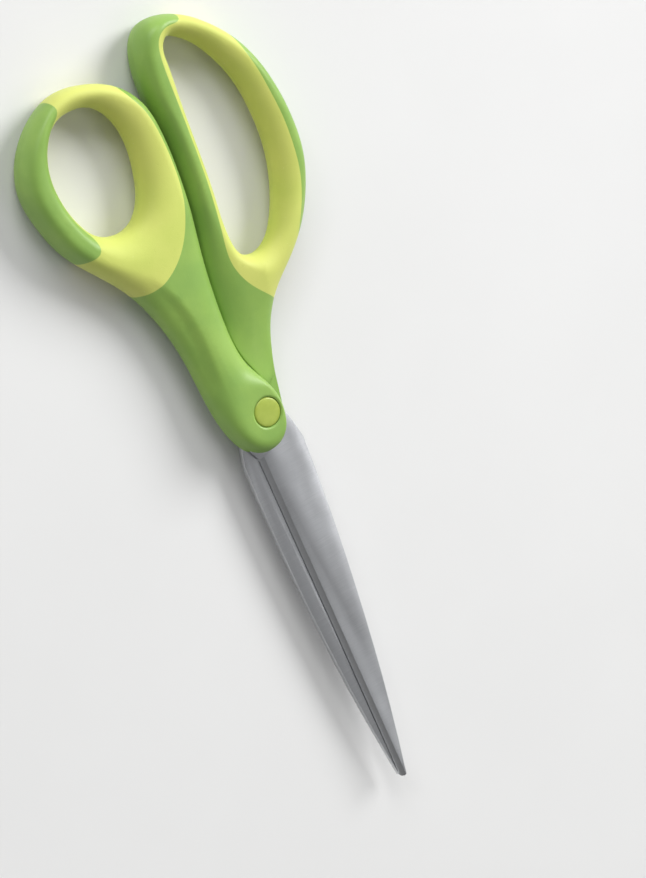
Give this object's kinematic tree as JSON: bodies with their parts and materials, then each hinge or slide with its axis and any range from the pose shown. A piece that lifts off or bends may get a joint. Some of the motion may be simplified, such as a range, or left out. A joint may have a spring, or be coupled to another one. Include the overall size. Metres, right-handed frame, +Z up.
{
  "type": "office scissors",
  "caption": "Right-handed office scissors with steel blades, hard plastic handles, soft grips round both finger holes and a capped pivot.",
  "frame": {"origin": "on the pivot axis, on the table under the closed scissors, at the rear cap's flat face", "axes": "+Z up along the pivot axis, +Y from the pivot to the handles, +X to the side of the long finger bow"},
  "size_m": [0.0716, 0.1977, 0.011],
  "materials": {
    "blade_steel": "ground stainless steel, fine lines across the blade",
    "handle_plastic": "smooth satin moulding in leaf green",
    "grip_rubber": "soft-touch moulded elastomer in lime yellow",
    "pivot_steel": "turned and plated steel",
    "cap_plastic": "small smooth moulding in lime green"
  },
  "bodies": {
    "finger_half": {"finger_blade": "blade_steel", "finger_handle": "handle_plastic", "finger_grip": "grip_rubber", "pivot_barrel": "pivot_steel", "pivot_screw": "pivot_steel", "spring_washer": "pivot_steel", "rear_cap": "cap_plastic"},
    "thumb_half": {"thumb_blade": "blade_steel", "thumb_handle": "handle_plastic", "thumb_grip": "grip_rubber", "front_cap": "cap_plastic"}
  },
  "joints": [
    {"name": "blades_open", "type": "hinge", "parent": "finger_half", "child": "thumb_half", "pos_m": [0, 0, 0.0055], "axis": [0, 0, 1], "range_deg": [0, 60]}
  ]
}
